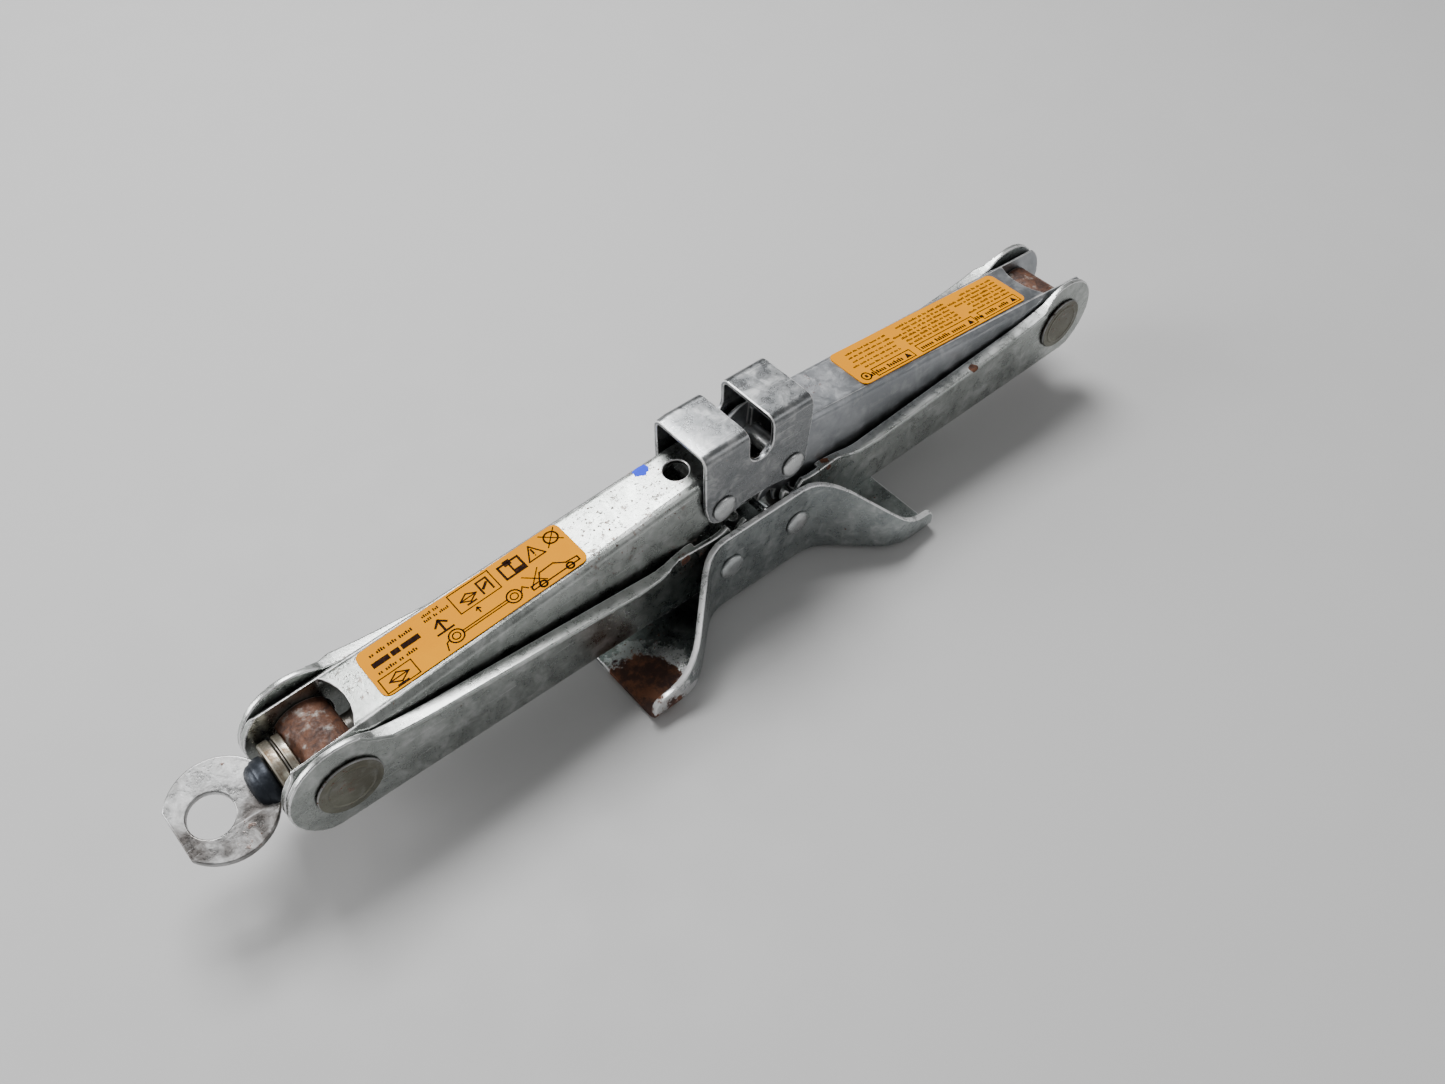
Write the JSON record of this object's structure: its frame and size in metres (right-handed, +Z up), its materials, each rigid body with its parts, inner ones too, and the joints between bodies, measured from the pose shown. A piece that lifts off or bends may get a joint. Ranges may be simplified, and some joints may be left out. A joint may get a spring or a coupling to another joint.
{
  "type": "scissor jack",
  "caption": "Collapsed scissor car jack: a folded steel base, pressed arms meshing at toothed ends, a slotted saddle and a drive screw ending in an eye.",
  "frame": {"origin": "middle of the base's underside", "axes": "+X along the drive screw from the eye towards the nut, +Z up, +Y across the jack"},
  "size_m": [0.4318, 0.089, 0.0853],
  "materials": {
    "zinc_plate": "satin",
    "base_zinc": "satin",
    "rivet_steel": "satin",
    "rusty_steel": "matte",
    "screw_steel": "satin",
    "washer_steel": "satin",
    "dark_collar": "satin",
    "orange_label": "satin"
  },
  "bodies": {
    "base": {"base_plate": "base_zinc", "base_pin_left": "rivet_steel", "base_pin_right": "rivet_steel"},
    "lower_left": {"lower_arm_left": "zinc_plate"},
    "lower_right": {"lower_arm_right": "zinc_plate"},
    "front_trunnion": {"trunnion_front": "rusty_steel", "thrust_washer_inner": "washer_steel"},
    "nut_trunnion": {"trunnion_nut": "rusty_steel"},
    "upper_left": {"upper_arm_left": "zinc_plate", "label_left": "orange_label"},
    "upper_right": {"upper_arm_right": "zinc_plate", "label_right": "orange_label"},
    "saddle": {"saddle": "zinc_plate", "saddle_pin_left": "rivet_steel", "saddle_pin_right": "rivet_steel"},
    "screw": {"drive_screw": "screw_steel", "drive_collar": "dark_collar", "drive_eye": "zinc_plate", "thrust_bearing": "dark_collar", "thrust_washer_outer": "washer_steel"}
  },
  "joints": [
    {"name": "lower_left_fold", "type": "hinge", "parent": "base", "child": "lower_left", "pos_m": [-0.0175, 0, 0.025], "axis": [0, 1, 0], "range_deg": [0, 60]},
    {"name": "lower_right_fold", "type": "hinge", "parent": "base", "child": "lower_right", "pos_m": [0.0175, 0, 0.025], "axis": [0, 1, 0], "range_deg": [-60, 0]},
    {"name": "front_trunnion_turn", "type": "hinge", "parent": "lower_left", "child": "front_trunnion", "pos_m": [-0.18, 0, 0.04], "axis": [0, 1, 0], "range_deg": [-60, 0]},
    {"name": "nut_trunnion_turn", "type": "hinge", "parent": "lower_right", "child": "nut_trunnion", "pos_m": [0.18, 0, 0.04], "axis": [0, 1, 0], "range_deg": [0, 60]},
    {"name": "upper_left_fold", "type": "hinge", "parent": "lower_left", "child": "upper_left", "pos_m": [-0.18, 0, 0.04], "axis": [0, 1, 0], "range_deg": [-120, 0]},
    {"name": "upper_right_fold", "type": "hinge", "parent": "lower_right", "child": "upper_right", "pos_m": [0.18, 0, 0.04], "axis": [0, 1, 0], "range_deg": [0, 120]},
    {"name": "saddle_level", "type": "hinge", "parent": "upper_left", "child": "saddle", "pos_m": [-0.0175, 0, 0.055], "axis": [0, 1, 0], "range_deg": [0, 60]},
    {"name": "screw_spin", "type": "hinge", "parent": "front_trunnion", "child": "screw", "pos_m": [-0.18, 0, 0.04], "axis": [1, 0, 0], "continuous": true}
  ],
  "couplings": [
    {"joint": "lower_right_fold", "follows": "lower_left_fold", "ratio": -1},
    {"joint": "front_trunnion_turn", "follows": "lower_left_fold", "ratio": -1},
    {"joint": "nut_trunnion_turn", "follows": "lower_left_fold", "ratio": 1},
    {"joint": "upper_left_fold", "follows": "lower_left_fold", "ratio": -2},
    {"joint": "upper_right_fold", "follows": "lower_left_fold", "ratio": 2},
    {"joint": "saddle_level", "follows": "lower_left_fold", "ratio": 1}
  ]
}
